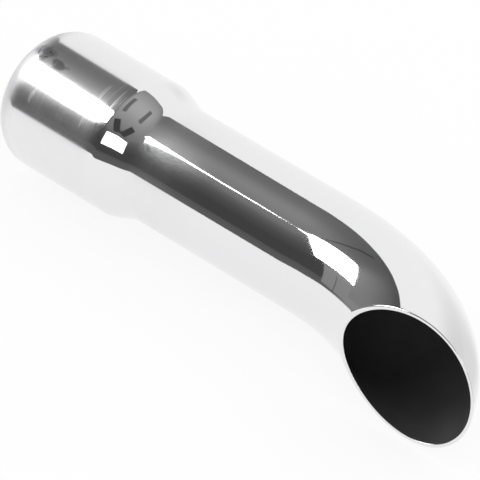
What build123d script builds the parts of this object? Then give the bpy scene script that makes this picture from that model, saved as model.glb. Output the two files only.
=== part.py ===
from build123d import *
import math
import os

# Exhaust tip: one length of steel tube. Its inlet end is expanded to a socket and rolled in at the edge,
# its outlet end is bent to one side and cut off flush, so that the gas leaves through a long oval mouth.
# Lengths are in millimetres and angles in degrees. Places along the tube count from the inlet face.

# The tube
body_diameter = 57.15      # outside of the plain tube, a 2 1/4 inch size
wall = 1.5                 # thickness of the steel, the same all along

# The expanded inlet end
socket_diameter = 66.9     # outside
socket_length = 65.0       # inlet face to where the neck starts
neck_slope = 19.5          # of the cone in the middle of the neck
shoulder_share = 2.5       # outside radius where the neck leaves the socket, over the step down to the tube
waist_share = 5.0          # outside radius where the neck runs out into the tube, over the same step
roll_radius = 14.5         # outside radius of the edge that is rolled in
pipe_diameter = 50.8       # the 2 inch pipe that the tip slips over
pipe_clearance = 0.4       # inlet hole less pipe, on the diameter

# The bent and cut outlet end
plain_length = 94.0        # neck to where the bend starts
bend_radius = 130.5        # of the tube's centre line
bend_turn = 70.0           # of the bend before the mouth is cut, past the toe
mouth_depth = 42.0         # tube's axis to the plane of the mouth, where the bend starts
mouth_tilt = 1.7           # the mouth's plane drops away from the axis towards the toe
rim_bevel = 0.4            # taken off the outer edge of the mouth
rim_break = 0.2            # taken off the inner edge of the mouth

body_radius = body_diameter / 2
socket_radius = socket_diameter / 2
inlet_hole_radius = (pipe_diameter + pipe_clearance) / 2

# Where the search for the resting pose ends
steepest_pitch = math.radians(45)
steepest_roll = math.radians(60)
finest_pitch = 1e-9
finest_roll = 1e-6

# The neck is a cone between two arcs, the shoulder and the waist. It is drawn from the step down from the
# socket to the tube, and its length follows.
slope = math.radians(neck_slope)
step = socket_radius - body_radius
shoulder_radius = shoulder_share * step
waist_radius = waist_share * step
both_radii = shoulder_radius + waist_radius
cone_step = step - both_radii * (1 - math.cos(slope))
neck_length = both_radii * math.sin(slope) + cone_step / math.tan(slope)
neck_end = socket_length + neck_length
bend_start = neck_end + plain_length

# The rolled edge turns about this point of the section, up to the inlet hole
roll_height = socket_radius - roll_radius
roll_turn = math.acos((inlet_hole_radius - roll_height) / roll_radius)
roll_place = roll_radius * math.sin(roll_turn)


def on_circle(centre, radius, angle):
    """Point of the section at an angle from the outward direction, counted towards the inlet."""
    return (centre[0] - radius * math.sin(angle), centre[1] + radius * math.cos(angle))


def section_arc(centre, radius, start, end):
    """Arc of the section between two such angles, as one cubic curve, which turns to a light surface."""
    handle = 4 / 3 * math.tan((end - start) / 4) * radius
    first = on_circle(centre, radius, start)
    last = on_circle(centre, radius, end)
    return Bezier(
        first,
        (first[0] - handle * math.cos(start), first[1] - handle * math.sin(start)),
        (last[0] + handle * math.cos(end), last[1] + handle * math.sin(end)),
        last,
    )


def tube_line(depth):
    """Section line of the straight part, so deep under the outer surface, from the inlet to the bend."""
    roll_centre = (roll_place, roll_height)
    shoulder_centre = (socket_length, socket_radius - shoulder_radius)
    waist_centre = (neck_end, body_radius + waist_radius)
    roll = roll_radius - depth
    turn = math.acos((inlet_hole_radius - roll_height) / roll)
    shoulder = shoulder_radius - depth
    waist = waist_radius + depth
    waist_turn = math.pi - slope
    line = [
        section_arc(roll_centre, roll, turn, 0),
        Line(on_circle(roll_centre, roll, 0), on_circle(shoulder_centre, shoulder, 0)),
        section_arc(shoulder_centre, shoulder, 0, -slope),
        Line(on_circle(shoulder_centre, shoulder, -slope), on_circle(waist_centre, waist, waist_turn)),
        section_arc(waist_centre, waist, waist_turn, math.pi),
        Line(on_circle(waist_centre, waist, math.pi), (bend_start, body_radius - depth)),
    ]
    return line, on_circle(roll_centre, roll, turn)


def make_straight_part():
    """Socket, neck and plain tube, turned from one section."""
    outside, outer_edge = tube_line(0)
    inside, inner_edge = tube_line(wall)
    land = Line(outer_edge, inner_edge)
    joint = Line((bend_start, body_radius), (bend_start, body_radius - wall))
    section = make_face([*outside, *inside, land, joint])
    return revolve(section, Axis.X, 360)


def make_bend():
    """The bent end of the tube, longer than the mouth leaves it."""
    end = Plane(origin=(bend_start, 0, 0), x_dir=(0, 1, 0), z_dir=(1, 0, 0))
    ring = end * (Circle(body_radius) - Circle(body_radius - wall))
    pivot = Axis((bend_start, -bend_radius, 0), (0, 0, -1))
    return revolve(ring, pivot, bend_turn)


def cut_mouth(bend):
    """Cut the bend off along the mouth's plane."""
    tilt = math.radians(mouth_tilt)
    outwards = (-math.sin(tilt), -math.cos(tilt), 0)
    mouth = Plane(origin=(bend_start, -mouth_depth, 0), x_dir=(0, 0, 1), z_dir=outwards)
    return split(bend, bisect_by=mouth, keep=Keep.BOTTOM)


def break_rim(tube):
    """Take the sharp edges off the mouth's rim, which is the tube's only flat face."""
    rim = tube.faces().filter_by(GeomType.PLANE)[0]
    tube = chamfer(rim.outer_wire().edges(), rim_bevel)
    rim = tube.faces().filter_by(GeomType.PLANE)[0]
    return chamfer(rim.inner_wires()[0].edges(), rim_break)


def resting_pose(weight):
    """Pitch and roll, in degrees, of the tube lying on a floor: the shoulder of the socket and the side
    of the bend touch it, and of all such poses it takes the one with its weight lowest."""

    def socket_reach(pitch):
        return (
            socket_length * math.sin(pitch)
            + (socket_radius - shoulder_radius) * math.cos(pitch)
            + shoulder_radius
        )

    def bend_reach(pitch, roll):
        along = math.sin(pitch)
        across = math.cos(pitch) * math.sin(roll)
        return bend_start * along + bend_radius * (math.hypot(along, across) - across) + body_radius

    def pitch_at(roll):
        low, high = 0.0, steepest_pitch
        while high - low > finest_pitch:
            middle = (low + high) / 2
            if bend_reach(middle, roll) < socket_reach(middle):
                low = middle
            else:
                high = middle
        return low

    def weight_height(roll):
        pitch = pitch_at(roll)
        below = weight.X * math.sin(pitch) + weight.Y * math.cos(pitch) * math.sin(roll)
        return socket_reach(pitch) - below

    low, high = 0.0, steepest_roll
    while high - low > finest_roll:
        third = (high - low) / 3
        if weight_height(low + third) < weight_height(high - third):
            high -= third
        else:
            low += third
    return math.degrees(pitch_at(low)), math.degrees(low)


tip_tube = break_rim(make_straight_part() + cut_mouth(make_bend()))

# The tube lies on its side as it comes to rest, with the bend turned to the front. Its lowest point is
# on the floor, and the origin is under the middle of its box.
pitch, roll = resting_pose(tip_tube.center(CenterOf.MASS))
tip_tube = tip_tube.rotate(Axis.X, -roll).rotate(Axis.Y, pitch)
box = tip_tube.bounding_box()
tip_tube = tip_tube.translate((-box.center().X, -box.center().Y, -box.min.Z))

os.makedirs("parts", exist_ok=True)
export_step(tip_tube, "parts/tip_tube.step")
print(f"tip_tube lies at pitch {pitch:.2f} and roll {roll:.2f} degrees")
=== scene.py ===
import math

import bmesh
import bpy
from mathutils import Matrix, Vector


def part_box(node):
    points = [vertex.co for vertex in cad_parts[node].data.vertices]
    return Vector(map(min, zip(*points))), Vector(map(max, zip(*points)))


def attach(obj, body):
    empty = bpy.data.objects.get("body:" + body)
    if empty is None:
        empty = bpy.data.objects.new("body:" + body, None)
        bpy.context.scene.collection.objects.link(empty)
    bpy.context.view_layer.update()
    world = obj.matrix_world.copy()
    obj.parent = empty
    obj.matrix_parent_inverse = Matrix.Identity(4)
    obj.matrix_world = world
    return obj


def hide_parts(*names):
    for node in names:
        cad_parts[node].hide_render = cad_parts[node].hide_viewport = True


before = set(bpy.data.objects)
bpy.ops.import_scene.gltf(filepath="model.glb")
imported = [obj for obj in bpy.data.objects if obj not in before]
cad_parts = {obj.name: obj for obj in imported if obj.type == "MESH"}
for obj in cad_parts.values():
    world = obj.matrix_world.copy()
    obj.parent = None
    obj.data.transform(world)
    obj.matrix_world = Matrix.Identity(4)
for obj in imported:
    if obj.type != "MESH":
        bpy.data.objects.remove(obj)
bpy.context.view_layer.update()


# The exhaust tip: one length of steel tube, polished and chromed. Its inlet end is expanded to a socket and
# rolled in at the edge, and its outlet end is bent and cut off flush to a long oval mouth. Nothing is fixed
# to it. It lies on its side, held up by the socket's shoulder and the side of the bend.

# Lengths are in metres, and places along the tube count from the inlet's edge
body_radius = 0.028575           # outside of the plain tube
wall = 0.0015                    # thickness of the steel
socket_radius = 0.03345          # outside
socket_length = 0.0653           # inlet's edge to where the neck starts
neck_lengths = (0.0022, 0.0055, 0.0055, 0.0065)   # of its four arcs, along the tube
neck_slopes = [math.radians(angle) for angle in (0, 16, 20.5, 15.5, 0)]   # where the arcs start and end
roll_radius = 0.0145             # outside of the edge that is rolled in
inlet_hole_radius = 0.0256
inlet_rounding = 0.00025         # of the hole's two corners
bend_start = 0.17904916          # as far from the inlet's edge as the solid's
bend_radius = 0.1305             # of the tube's centre line
bend_turn = math.radians(70)     # of the bend before the mouth is cut
mouth_depth = 0.042              # tube's axis to the plane of the mouth, where the bend starts
mouth_tilt = math.radians(1.7)   # the mouth's plane drops away from the axis towards the toe
mouth_collar = 0.001             # depth of the even faces behind the mouth
rim_bevel = 0.0004               # of the mouth's outer edge
rim_break = 0.0002               # of its inner edge
lying_pitch = math.radians(2.014321)   # the axis drops so much towards the outlet, as the solid lies
lying_roll = math.radians(5.237373)    # and the bend is turned up so much

# How fine the mesh is
steps_around = 192
steps_of_bend = 84
steps_of_roll = 18
steps_of_neck_arc = 8
inlet_segments = 3
rim_segments = 4
same_place = 1e-6
shortest_edge = 0.0004

# The neck runs from the socket down to the tube in four arcs, each with its centre and its turn. Their
# lengths and slopes are chosen, and the lengths are scaled to the step between socket and tube.
neck_parts = list(zip(neck_lengths, neck_slopes, neck_slopes[1:]))
step_down = socket_radius - body_radius
chosen_drop = sum(length * math.tan((first + last) / 2) for length, first, last in neck_parts)
neck_arcs = []
neck_tip = Vector((socket_length, socket_radius))
for length, first, last in neck_parts:
    radius = length * step_down / chosen_drop / (math.sin(last) - math.sin(first))
    centre = neck_tip - radius * Vector((math.sin(first), math.cos(first)))
    neck_arcs.append((centre, last - first))
    neck_tip = centre + radius * Vector((math.sin(last), math.cos(last)))
neck_end = neck_tip.x

# The rolled edge turns about this point of the section, up to the inlet hole
roll_height = socket_radius - roll_radius


def roll_turn_at(radius):
    """Turn of the rolled edge at a radius of its section, from the socket's side to the inlet hole."""
    return math.acos((inlet_hole_radius - roll_height) / radius)


roll_place = roll_radius * math.sin(roll_turn_at(roll_radius))


def run_to(mesh, tip, along, out):
    """Draws the section on to a place, and gives the line's new tip."""
    made = bmesh.ops.extrude_vert_indiv(mesh, verts=[tip])["verts"][0]
    made.co = (along, 0, out)
    return made


def turn_about(mesh, tip, along, out, angle, steps):
    """Draws the section on along an arc about a place, and gives the line's new tip."""
    made = bmesh.ops.spin(
        mesh, geom=[tip], cent=(along, 0, out), axis=(0, 1, 0), dvec=(0, 0, 0), angle=angle, steps=steps
    )["geom_last"]
    return next(item for item in made if isinstance(item, bmesh.types.BMVert))


def draw_outside(mesh, tip):
    """Draws the outer surface's line from the bend to the inlet."""
    tip = run_to(mesh, tip, neck_end, body_radius)
    for centre, turn in reversed(neck_arcs):
        tip = turn_about(mesh, tip, centre.x, centre.y, -turn, steps_of_neck_arc)
    tip = run_to(mesh, tip, roll_place, socket_radius)
    return turn_about(mesh, tip, roll_place, roll_height, -roll_turn_at(roll_radius), steps_of_roll)


def draw_inside(mesh, tip):
    """Draws the inner surface's line from the inlet back to the bend."""
    tip = turn_about(mesh, tip, roll_place, roll_height, roll_turn_at(roll_radius - wall), steps_of_roll)
    tip = run_to(mesh, tip, socket_length, socket_radius - wall)
    for centre, turn in neck_arcs:
        tip = turn_about(mesh, tip, centre.x, centre.y, turn, steps_of_neck_arc)
    return run_to(mesh, tip, bend_start, body_radius - wall)


def round_edges(mesh, edges, width, segments):
    """Rounds edges off by a width."""
    bmesh.ops.bevel(
        mesh,
        geom=edges,
        offset=width,
        offset_type="OFFSET",
        segments=segments,
        profile=0.5,
        affect="EDGES",
        material=-1,
    )


# The straight part is turned from its section, and the two corners of the inlet hole are rounded
tube = bmesh.new()
section_tip = bmesh.ops.create_vert(tube, co=(bend_start, 0, body_radius))["vert"][0]
section_tip = draw_outside(tube, section_tip)
inner_roll = roll_radius - wall
land_end = roll_place - inner_roll * math.sin(roll_turn_at(inner_roll))
section_tip = run_to(tube, section_tip, land_end, inlet_hole_radius)
section_tip = draw_inside(tube, section_tip)
bmesh.ops.spin(
    tube,
    geom=tube.verts[:] + tube.edges[:],
    cent=(0, 0, 0),
    axis=(1, 0, 0),
    dvec=(0, 0, 0),
    angle=2 * math.pi,
    steps=steps_around,
    use_merge=True,
)
bmesh.ops.remove_doubles(tube, verts=tube.verts, dist=same_place / 10)


def is_hole_corner(edge):
    """Whether an edge runs round one of the two corners of the inlet hole."""
    at_land = all(vertex.co.x <= land_end + 10 * same_place for vertex in edge.verts)
    at_hole = all(abs(math.hypot(*vertex.co.yz) - inlet_hole_radius) < same_place for vertex in edge.verts)
    return at_land and at_hole and abs(edge.verts[0].co.x - edge.verts[1].co.x) < same_place


round_edges(tube, [edge for edge in tube.edges if is_hole_corner(edge)], inlet_rounding, inlet_segments)

# The bend goes on from there, longer than the mouth leaves it. It is cut a little short of the mouth, and a
# collar of even faces takes it the rest of the way. The cut's points are merged in the order of their
# places, so that the same ones are kept each time.
bmesh.ops.spin(
    tube,
    geom=[edge for edge in tube.edges if edge.is_boundary],
    cent=(bend_start, -bend_radius, 0),
    axis=(0, 0, 1),
    dvec=(0, 0, 0),
    angle=-bend_turn,
    steps=steps_of_bend,
)
mouth_place = Vector((bend_start, -mouth_depth, 0))
mouth_way = Vector((-math.sin(mouth_tilt), -math.cos(mouth_tilt), 0))
bmesh.ops.bisect_plane(
    tube,
    geom=tube.verts[:] + tube.edges[:] + tube.faces[:],
    plane_co=mouth_place - mouth_collar * mouth_way,
    plane_no=mouth_way,
    clear_outer=True,
)
open_ends = [vertex for vertex in tube.verts if vertex.is_boundary]
open_ends.sort(key=lambda vertex: tuple(vertex.co))
bmesh.ops.remove_doubles(tube, verts=open_ends, dist=shortest_edge)
collar = bmesh.ops.extrude_edge_only(tube, edges=[edge for edge in tube.edges if edge.is_boundary])["geom"]
for vertex in collar:
    if isinstance(vertex, bmesh.types.BMVert):
        arm = vertex.co - Vector((bend_start, -bend_radius, vertex.co.z))
        way = Vector((arm.y, -arm.x, 0)).normalized()
        vertex.co += way * ((mouth_place - vertex.co).dot(mouth_way) / way.dot(mouth_way))
bmesh.ops.bridge_loops(tube, edges=[edge for edge in tube.edges if edge.is_boundary])


def arm_beyond_axis(place):
    """How much farther from the bend's pivot a place is than the tube's centre line."""
    return math.hypot(place.x - bend_start, place.y + bend_radius) - bend_radius


def rim_edges(least_depth, most_depth):
    """Edges of the mouth's rim that lie so deep under the tube's outer surface."""
    found = []
    for edge in tube.edges:
        places = [vertex.co for vertex in edge.verts]
        depths = [body_radius - math.hypot(arm_beyond_axis(place), place.z) for place in places]
        in_mouth = all(abs((place - mouth_place).dot(mouth_way)) < same_place for place in places)
        past_bend_start = all(place.x > bend_start for place in places)
        if in_mouth and past_bend_start and all(least_depth < depth < most_depth for depth in depths):
            found.append(edge)
    return found


round_edges(tube, rim_edges(-wall, wall / 4), rim_bevel, rim_segments)
round_edges(tube, rim_edges(wall * 3 / 4, 2 * wall), rim_break, rim_segments)
bmesh.ops.recalc_face_normals(tube, faces=tube.faces)

# Each point also keeps its place on the tube as if the tube were straight, for patterns that go round it or
# along it: along from the inlet, to the side away from the mouth, and up
skin = tube.verts.layers.float_vector.new("skin")
for vertex in tube.verts:
    vertex[skin] = vertex.co
    if vertex.co.x > bend_start:
        turn = math.atan2(vertex.co.x - bend_start, vertex.co.y + bend_radius)
        vertex[skin] = (bend_start + bend_radius * turn, arm_beyond_axis(vertex.co), vertex.co.z)

# The inside has the second material, black soot with painted light that makes it grey farther in, as far as
# the roundings of the two ends
chrome_slot = 0
soot_slot = 1
soot_to_inlet = 0.0005
soot_to_mouth = 0.0004
facing_in = 0.3
for face in tube.faces:
    face.normal_update()
    face.smooth = True
    middle = face.calc_center_median()
    out = sum((Vector((0, vertex[skin][1], vertex[skin][2])) for vertex in face.verts), Vector())
    way = face.normal.copy()
    if middle.x > bend_start:
        arm = Vector((middle.x - bend_start, middle.y + bend_radius, 0)).normalized()
        way = Vector((0, face.normal.dot(arm), face.normal.z))
    inside = way.dot(out) < -facing_in * out.length
    at_mouth = middle.x > bend_start and (middle - mouth_place).dot(mouth_way) > -soot_to_mouth
    face.material_index = soot_slot if inside and not at_mouth and middle.x > soot_to_inlet else chrome_slot

# The tube is laid down as the solid lies, and takes its place from the solid's box
lying = Matrix.Rotation(lying_pitch, 3, "Y") @ Matrix.Rotation(-lying_roll, 3, "X")
bmesh.ops.rotate(tube, verts=tube.verts, cent=(0, 0, 0), matrix=lying)
low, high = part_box("tip_tube")
across, ahead, up = ([vertex.co[k] for vertex in tube.verts] for k in range(3))
to_solid = (
    (low[0] + high[0] - min(across) - max(across)) / 2,
    (low[1] + high[1] - min(ahead) - max(ahead)) / 2,
    low[2] - min(up),
)
bmesh.ops.translate(tube, verts=tube.verts, vec=to_solid)


def add_piece(name, mesh):
    """Makes an object of a finished bmesh."""
    data = bpy.data.meshes.new(name)
    mesh.to_mesh(data)
    mesh.free()
    piece = bpy.data.objects.new(name, data)
    bpy.context.collection.objects.link(piece)
    return piece


chromed_tip = add_piece("chromed_tip", tube)


class Shade:
    """A socket of a material's nodes. Arithmetic on it adds Math nodes."""

    def __init__(self, tree, socket=None):
        self.tree = tree
        self.socket = socket

    def node(self, kind, settings, sockets, output=0):
        """Adds a node, with its settings first and then its sockets' values or links, and gives an output."""
        node = self.tree.nodes.new(kind)
        for name, setting in settings.items():
            if name == "stops":
                stops = node.color_ramp.elements
                for place, grey in setting[1:-1]:
                    stops.new(place)
                for stop, (place, grey) in zip(stops, setting):
                    stop.color = (grey, grey, grey, 1)
            else:
                setattr(node, name, setting)
        for name, value in sockets.items():
            if isinstance(value, Shade):
                self.tree.links.new(value.socket, node.inputs[name])
            else:
                node.inputs[name].default_value = value
        return Shade(self.tree, node.outputs[output] if node.outputs else None)

    def output(self, name):
        """Another output of the same node."""
        return Shade(self.tree, self.socket.node.outputs[name])

    def maths(self, operation, *terms):
        """Adds a Math node."""
        return self.node("ShaderNodeMath", {"operation": operation}, dict(enumerate(terms)))

    def vector_maths(self, operation, *terms):
        """Adds a Vector Math node."""
        output = "Value" if operation == "LENGTH" else "Vector"
        return self.node("ShaderNodeVectorMath", {"operation": operation}, dict(enumerate(terms)), output)

    def __add__(self, other):
        return self.maths("ADD", self, other)

    def __radd__(self, other):
        return self.maths("ADD", other, self)

    def __sub__(self, other):
        return self.maths("SUBTRACT", self, other)

    def __rsub__(self, other):
        return self.maths("SUBTRACT", other, self)

    def __mul__(self, other):
        return self.maths("MULTIPLY", self, other)

    def __rmul__(self, other):
        return self.maths("MULTIPLY", other, self)

    def __truediv__(self, other):
        return self.maths("DIVIDE", self, other)

    def __rtruediv__(self, other):
        return self.maths("DIVIDE", other, self)


def add_material(piece, name):
    """Adds an empty material to a piece."""
    material = bpy.data.materials.new(name)
    material.use_nodes = True
    material.node_tree.nodes.clear()
    piece.data.materials.append(material)
    return Shade(material.node_tree)


def show(surface):
    """Makes a shader the surface of its material."""
    surface.node("ShaderNodeOutputMaterial", {}, {"Surface": surface})


def between(value, low, high):
    """0 below low, 1 above high and a smooth step in between."""
    return value.node(
        "ShaderNodeMapRange",
        {"interpolation_type": "SMOOTHSTEP"},
        {"Value": value, "From Min": low, "From Max": high},
    )


def noise(place, scale, detail):
    """Cloudy noise around 0.5."""
    return place.node("ShaderNodeTexNoise", {}, {"Vector": place, "Scale": scale, "Detail": detail})


def mix_colours(share, first, second):
    """The first colour at a share of 0 and the second at 1. The node's sockets 6, 7 and 2 are for colours."""
    return share.node("ShaderNodeMix", {"data_type": "RGBA"}, {"Factor": share, 6: first, 7: second}, 2)


# Chrome: bright all over, with the marks of use on top of it. The numbers after polished and rubbed are
# roughnesses.
clean_metal = (0.83, 0.83, 0.84, 1)
dirty_metal = (0.07, 0.07, 0.07, 1)
polished = 0.05
polished_on_socket = 0.08
rubbed = 0.37
rubbed_on_edge = 0.2
least_haze = 0.002
ragged_reach = 0.012
relief_depth = 0.00003

chrome = add_material(chromed_tip, "chrome")
place = chrome.node("ShaderNodeAttribute", {"attribute_name": "skin"}, {}, "Vector")
along = place.node("ShaderNodeSeparateXYZ", {}, {"Vector": place})
height = along.output("Z")

blots = noise(place, 90.0, 4.0)
dots = noise(place, 1100.0, 2.0)
specks = noise(place, 1900.0, 1.0)
rubs = noise(place.vector_maths("MULTIPLY", place, (700, 60, 60)), 1.0, 3.0)
lines = noise(place.vector_maths("MULTIPLY", place, (1500, 22, 22)), 1.0, 2.0)
raggedness = place.vector_maths(
    "MULTIPLY_ADD", blots.output("Color"), [ragged_reach] * 3, [-ragged_reach / 2] * 3
)
ragged_place = place.vector_maths("ADD", place, raggedness)


def mark(middle, length, width):
    """1 inside a spot of the surface with a ragged edge, 0 outside it."""
    way = ragged_place.vector_maths("SUBTRACT", ragged_place, middle)
    scaled = way.vector_maths("DIVIDE", way, (length, width, width))
    return 1 - between(scaled.vector_maths("LENGTH", scaled), 0.5, 1.0)


# Where the marks of use are, by the place along the tube and the height over its axis
on_edge = 1 - between(along, 0.004, 0.015)
on_socket = 1 - between(along, 0.056, 0.066)
on_tube = (1 - between(along, 0.09, 0.13)) * between(along, 0.078, 0.098)
on_bend = between(along, 0.18, 0.2)
low_side = (1 - between(height, 0.015, 0.024)) * between(height, 0.006, 0.012)
scratches = between(lines, 0.53, 0.62) * mark((0.059, -0.019, 0.0275), 0.010, 0.011)
nicks = mark((0.021, -0.030, 0.0145), 0.002, 0.004) + mark((0.0535, -0.030, 0.0147), 0.003, 0.004)
nicks = nicks * between(lines, 0.4, 0.6)

# Rubbed haze: most on the rolled edge and on the socket's lower side, a little where the plain tube begins
socket_haze = 0.05 + blots * 0.12 + low_side * (0.18 + blots * 0.4)
haze = on_socket * socket_haze * (0.8 + rubs * 0.35) + on_edge * (0.85 + blots * 0.4)
haze = haze + on_tube * (0.05 + blots * 0.25) + on_bend * 0.008
haze = haze + scratches * 0.5 + nicks * 0.5 + least_haze

# Dirt near the inlet: a speckled spot and a smudge
speckled_spot = mark((0.0125, -0.0162, 0.0293), 0.009, 0.0055) * between(specks, 0.44, 0.56)
smudge = mark((0.0235, -0.019, 0.0276), 0.0075, 0.0032)
metal_colour = mix_colours(speckled_spot + smudge * 0.6, clean_metal, dirty_metal)

# Slow waves in the metal, more of them in the bend, and a fine grain half way along where the polish is thin
waves = noise(place, 70.0, 1.0)
grain_zone = between(along, 0.115, 0.14) * (1 - between(along, 0.185, 0.205))
relief = waves * (0.3 + between(along, 0.17, 0.2) * 0.9) + dots * grain_zone * 0.13
bump = relief.node("ShaderNodeBump", {}, {"Strength": 1.0, "Distance": relief_depth, "Height": relief})

sharp_metal = {"Base Color": metal_colour, "Metallic": 1.0, "Normal": bump}
sharp_metal["Roughness"] = polished + on_socket * polished_on_socket
hazy_metal = {"Base Color": metal_colour, "Metallic": 1.0, "Roughness": rubbed + on_edge * rubbed_on_edge}
sharp = chrome.node("ShaderNodeBsdfPrincipled", {}, sharp_metal)
hazy = chrome.node("ShaderNodeBsdfPrincipled", {}, hazy_metal)
show(chrome.node("ShaderNodeMixShader", {}, {0: haze, 1: sharp, 2: hazy}))

# Soot inside: nearly black in the bend behind the mouth, and with painted light that makes it grey in the
# straight tube farther in
soot_with_painted_light = (0.18, 0.18, 0.18, 1)
black_soot = (0.045, 0.045, 0.045, 1)
soot_and_painted_light = add_material(chromed_tip, "soot_and_painted_light")
soot_place = soot_and_painted_light.node("ShaderNodeAttribute", {"attribute_name": "skin"}, {}, "Vector")
soot_along = soot_place.node("ShaderNodeSeparateXYZ", {}, {"Vector": soot_place})
# Painted light: grey farther in, fading to the soot's own near black in the bend behind the mouth
fade_of_painted_light = between(soot_along, 0.19, 0.25) * (0.9 + noise(soot_place, 140.0, 4.0) * 0.2)
soot_and_painted_light_colour = mix_colours(fade_of_painted_light, soot_with_painted_light, black_soot)
show(soot_and_painted_light.node("ShaderNodeBsdfPrincipled", {}, {"Base Color": soot_and_painted_light_colour, "Roughness": 0.55}))

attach(chromed_tip, "root")
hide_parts("tip_tube")


# The floor: a large sheet of white paper, which runs on behind the tip. Mirrors and the camera see most of
# it as plain white, and it still takes the tip's soft shadow. Mirrors also see a painted shade on it in the
# places behind the toe.
paper_reach = 6.0
paper_white = (0.98, 0.98, 0.98, 1)
shown_as_white = 0.85
toe_place = 0.13                 # along +X, where the tip's toe stands on the paper
painted_shade_depth = 0.22               # darkness of the painted shade behind it


def painted_shade_behind_toe(place):
    """How much painted shade there is in a place that the toe of the tip mirrors, 0 to 1."""
    across = place.node("ShaderNodeSeparateXYZ", {}, {"Vector": place})
    ahead = across.output("Y")
    return (1 - between((toe_place - across) / ahead, 0.2, 0.6)) * between(ahead, 0.0, 0.1)


floor_sheet = bmesh.new()
bmesh.ops.create_grid(floor_sheet, x_segments=1, y_segments=1, size=paper_reach)
floor = add_piece("floor", floor_sheet)
paper = add_material(floor, "paper")
by_camera = paper.node("ShaderNodeLightPath", {}, {}, "Is Camera Ray")
by_mirror = by_camera.output("Is Glossy Ray")
paper_place = paper.node("ShaderNodeTexCoord", {}, {}, "Object")
# Painted shade: for mirrors, the paper is darker in the places behind the toe
white_with_painted_shade = 1 - painted_shade_behind_toe(paper_place) * by_mirror * painted_shade_depth
glow = paper.node("ShaderNodeEmission", {}, {"Color": white_with_painted_shade, "Strength": 1.0})
matt = paper.node("ShaderNodeBsdfDiffuse", {}, {"Color": paper_white})
seen = by_camera + by_mirror + by_camera.output("Is Transmission Ray")
show(paper.node("ShaderNodeMixShader", {}, {0: seen * shown_as_white, 1: matt, 2: glow}))


# The white studio all round and overhead. It lights the tip plainly and softly from all sides, and the
# paper stays white up to the picture's edges.
white = (1, 1, 1, 1)
studio = bpy.data.worlds.new("white")
studio.use_nodes = True
background = studio.node_tree.nodes["Background"]
background.inputs["Color"].default_value = white
background.inputs["Strength"].default_value = 1.0
bpy.context.scene.world = studio


# The dark side of the studio, beyond the paper's front and left edges: part of a dome, and all of its top.
# The chrome mirrors it as the long dark band. It is there for mirrors alone.
dome_radius = 3.0
dome_lift = 0.0006
dome_rings = 36
dome_steps = 72
white_from = -56                 # azimuth in degrees: 0 is +Y and 90 is +X
white_to = 139
white_up_to = 60                 # elevation in degrees
paper_corner = 60                # degrees to the left, where the paper's left edge ends
edge_dimming = 0.34
wall_brightness = 0.17
# Brightness of the dark room by the height of the way there, from level at 0 to straight up at 1
room_greys = [
    (0.0, 0.115),
    (0.085, 0.1),
    (0.115, 0.06),
    (0.34, 0.058),
    (0.5, 0.085),
    (0.6, 0.125),
    (0.66, 0.185),
    (0.76, 0.225),
    (0.84, 0.27),
    (0.9, 0.31),
    (0.96, 0.37),
    (1.0, 0.44),
]


def hang_card(name, mesh, strength, pattern=None):
    """Adds a glowing card that only mirrors see, white or with the brightness that a pattern gives."""
    card = add_piece(name, mesh)
    card.visible_camera = False
    card.visible_diffuse = False
    card.visible_shadow = False
    card.visible_transmission = False
    surface = add_material(card, name)
    colour = pattern(surface) if pattern else white
    show(surface.node("ShaderNodeEmission", {}, {"Color": colour, "Strength": strength}))


def between_angles(angle, low, high):
    """As between, with the limits in degrees."""
    return between(angle, math.radians(low), math.radians(high))


def room_light(surface):
    """Dark near the ground, grey higher up, darker towards the paper's edge, and a wall in dim light."""
    place = surface.node("ShaderNodeTexCoord", {}, {}, "Object")
    way = place.vector_maths("NORMALIZE", place)
    across = way.node("ShaderNodeSeparateXYZ", {}, {"Vector": way})
    ahead, up = across.output("Y"), across.output("Z")
    grey = up.node("ShaderNodeValToRGB", {"stops": room_greys}, {"Fac": up})
    to_left = 0 - across.maths("ARCTAN2", across, ahead)
    off_edge = to_left.maths("ABSOLUTE", to_left - math.radians(paper_corner))
    near_edge = 1 - between_angles(off_edge, 10, 50)
    below_top = 1 - between(up, 0.84, 0.94)
    wall = between_angles(to_left, 45, 88) * (1 - between_angles(to_left, 106, 119))
    wall = wall * (1 - between(up, 0.5, 0.68))
    return grey * (1 - near_edge * below_top * edge_dimming) + wall * wall_brightness


dome = bmesh.new()
foot = bmesh.ops.create_vert(dome, co=(dome_radius, 0, dome_lift))["vert"][0]
bmesh.ops.spin(
    dome, geom=[foot], cent=(0, 0, 0), axis=(0, 1, 0), dvec=(0, 0, 0), angle=-math.pi / 2, steps=dome_rings
)
to_white = Matrix.Rotation(math.radians(90 - white_from), 3, "Z")
bmesh.ops.rotate(dome, verts=dome.verts, cent=(0, 0, 0), matrix=to_white)
bmesh.ops.spin(
    dome,
    geom=dome.verts[:] + dome.edges[:],
    cent=(0, 0, 0),
    axis=(0, 0, 1),
    dvec=(0, 0, 0),
    angle=2 * math.pi,
    steps=dome_steps,
    use_merge=True,
)
bmesh.ops.remove_doubles(dome, verts=dome.verts, dist=10 * same_place)


def is_white(face):
    """Whether a face of the dome is on the paper's side, where the studio is white."""
    middle = face.calc_center_median()
    on_paper_side = white_from < math.degrees(math.atan2(middle.x, middle.y)) < white_to
    return on_paper_side and middle.z < dome_radius * math.sin(math.radians(white_up_to))


bmesh.ops.delete(dome, geom=[face for face in dome.faces if is_white(face)], context="FACES")
hang_card("dark_dome", dome, 1.0, room_light)


# The backdrop: the paper where it hangs behind the tip. It is white, with a little painted shade in the
# places that the toe of the tip mirrors, as on the floor.
backdrop_left = -1.9
backdrop_right = 2.6
backdrop_place = 2.6
backdrop_height = 1.7
just_above_floor = 0.0004


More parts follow.
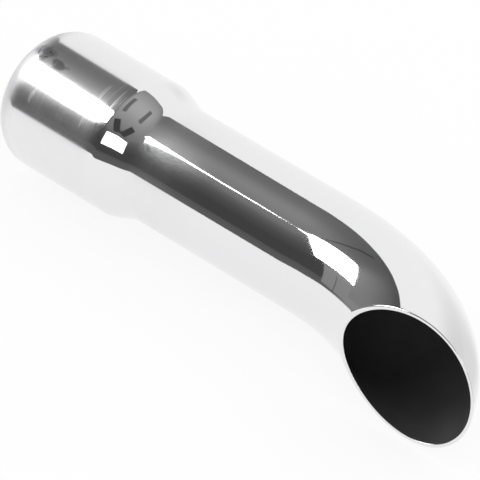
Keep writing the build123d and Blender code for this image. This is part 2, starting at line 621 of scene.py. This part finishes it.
def hang_sheet(name, corners, strength=1.0, pattern=None):
    """Adds a flat card with these corners."""
    sheet = bmesh.new()
    bmesh.ops.contextual_create(sheet, geom=[sheet.verts.new(corner) for corner in corners])
    hang_card(name, sheet, strength, pattern)


def backdrop_with_painted_shade(surface):
    """White, with a little painted shade behind the toe, and less of it higher up."""
    place = surface.node("ShaderNodeTexCoord", {}, {}, "Object")
    height = place.node("ShaderNodeSeparateXYZ", {}, {"Vector": place}, "Z")
    return 1 - painted_shade_behind_toe(place) * (1 - between(height, 0.5, 1.6)) * painted_shade_depth


hang_sheet(
    "backdrop",
    [
        (backdrop_left, backdrop_place, just_above_floor),
        (backdrop_right, backdrop_place, just_above_floor),
        (backdrop_right, backdrop_place, backdrop_height),
        (backdrop_left, backdrop_place, backdrop_height),
    ],
    pattern=backdrop_with_painted_shade,
)


# The dark ground beyond the paper's front and left edges, less dark on the left where light spills on it.
# The chrome mirrors it along the lower side of its dark band.
ground_reach = 3.0
ground_back = 1.9
paper_front = -0.33
paper_left = -0.62
paper_back = 0.4
for name, brightness, corners in (
    (
        "dark_ground_front",
        0.115,
        (
            (-ground_reach, -ground_reach),
            (ground_reach, -ground_reach),
            (ground_reach, paper_front),
            (-ground_reach, paper_front),
        ),
    ),
    (
        "dark_ground_left",
        0.24,
        (
            (-ground_reach, paper_front),
            (paper_left, paper_front),
            (paper_left, paper_back),
            (-ground_reach, ground_back),
        ),
    ),
):
    hang_sheet(name, [(x, y, just_above_floor) for x, y in corners], brightness)


# The left softbox, close to the tip's inlet end, upright and leaning back a little. The chrome mirrors it as
# the broad highlight on the socket, the thin one along the tube and the patch on the bend. Its cloth makes a
# small lip at the upper corner nearest the tip.
softbox_corner = Vector((-0.331, -0.252, 0.217))
softbox_across = Vector((-0.807, 0.59, 0))
softbox_up = Vector((-0.148, -0.202, 0.967))
softbox_brightness = 8.0
softbox_outline = [
    (0.61, 0.5),
    (0.131, 0.415),
    (0.012, 0.399),
    (0.0135, 0.386),
    (0.0525, 0.362),
    (0.05, 0.32),
    (0.028, 0.24),
    (0.006, 0.165),
    (-0.012, 0.025),
    (0.291, 0.034),
]
left_softbox = [
    softbox_corner + across * softbox_across + up * softbox_up for across, up in softbox_outline
]
hang_sheet("left_softbox", left_softbox, softbox_brightness)


# A dimly lit wall on the left, and the dark upright edge of another wall in front of it. Both show in the
# bend, under the bright patch there.
left_wall_distance = 2.7
left_wall_brightness = 0.26
wall_edge_brightness = 0.06
near_neck = Vector((-0.082, -0.0197, 0.0498))


def seen_at(azimuth, elevation, distance):
    """Place in a direction from the neck: azimuth 0 is +Y and 90 is +X."""
    azimuth, elevation = math.radians(azimuth), math.radians(elevation)
    flat = math.cos(elevation)
    way = Vector((math.sin(azimuth) * flat, math.cos(azimuth) * flat, math.sin(elevation)))
    return near_neck + distance * way


left_wall_ways = [(-119, 0.3), (-98, 0.3), (-97, 22), (-119, 27)]
left_wall = [seen_at(azimuth, elevation, left_wall_distance) for azimuth, elevation in left_wall_ways]
wall_edge = [(-2.35, -0.828, 0), (-2.35, -0.8, 0), (-2.33, -0.795, 0.75), (-2.33, -0.815, 0.75)]
hang_sheet("left_wall", left_wall, left_wall_brightness)
hang_sheet("wall_edge", wall_edge, wall_edge_brightness)


# A cable that hangs across the dark room, in two lengths. It shows as a thin line across the bend. Each
# station has the cable's place and the heights of its lower and upper side there.
cable_brightness = 0.05
cable_stations = [
    (-1.717, -0.661, 1.842, 1.872),
    (-1.825, 0.227, 1.809, 1.857),
    (-1.797, 0.85, 1.655, 1.71),
]
for name, start, end in zip(("cable_start", "cable_end"), cable_stations, cable_stations[1:]):
    sides = [(start[0], start[1], height) for height in start[2:]]
    sides = sides + [(end[0], end[1], height) for height in reversed(end[2:])]
    hang_sheet(name, sides, cable_brightness)


# The front softbox, farther away and in front of the tip. The chrome mirrors it as the small bright patch on
# the neck, low on the camera's side.
front_softbox_distance = 2.6
front_softbox_brightness = 3.0
front_softbox_ways = [(-174.3, 16), (-175.5, 35), (162, 36.5), (162, 16.5)]
front_softbox = [
    seen_at(azimuth, elevation, front_softbox_distance) for azimuth, elevation in front_softbox_ways
]
hang_sheet("front_softbox", front_softbox, front_softbox_brightness)


# Two dark bars under the ceiling, which show on the neck as four short marks. Their corners are given as
# steps to the side and ahead for each metre up.
ceiling_height = 1.9
for name, brightness, corners in (
    ("ceiling_bar_overhead", 0.15, ((-0.078, -0.35), (-0.128, 0.13), (-0.078, 0.165), (-0.018, -0.3))),
    ("ceiling_bar_in_front", 0.055, ((-0.09, -0.67), (0.01, -0.57), (0.15, -1.1), (0.03, -1.25))),
):
    hang_sheet(name, [near_neck + ceiling_height * Vector((x, y, 1)) for x, y in corners], brightness)


# The camera, at the photograph's angle: it stands far off with a long lens and looks down on the tip. At a
# heading of 0 it looks along +Y, and at a tilt of 0 straight down.
camera_place = Vector((1.52798, -1.65074, 1.31179))
camera_heading = math.radians(43.1652)
camera_tilt = math.radians(60.2935)
camera_roll = math.radians(4.1366)
lens = bpy.data.cameras.new("camera")
lens.lens = 440.0
lens.sensor_width = 36.0
lens.clip_end = 20.0
camera = bpy.data.objects.new("camera", lens)
bpy.context.collection.objects.link(camera)
camera.matrix_world = (
    Matrix.Translation(camera_place)
    @ Matrix.Rotation(camera_heading, 4, "Z")
    @ Matrix.Rotation(camera_tilt, 4, "X")
    @ Matrix.Rotation(camera_roll, 4, "Z")
)
bpy.context.scene.camera = camera
bpy.context.scene.view_settings.view_transform = "Standard"
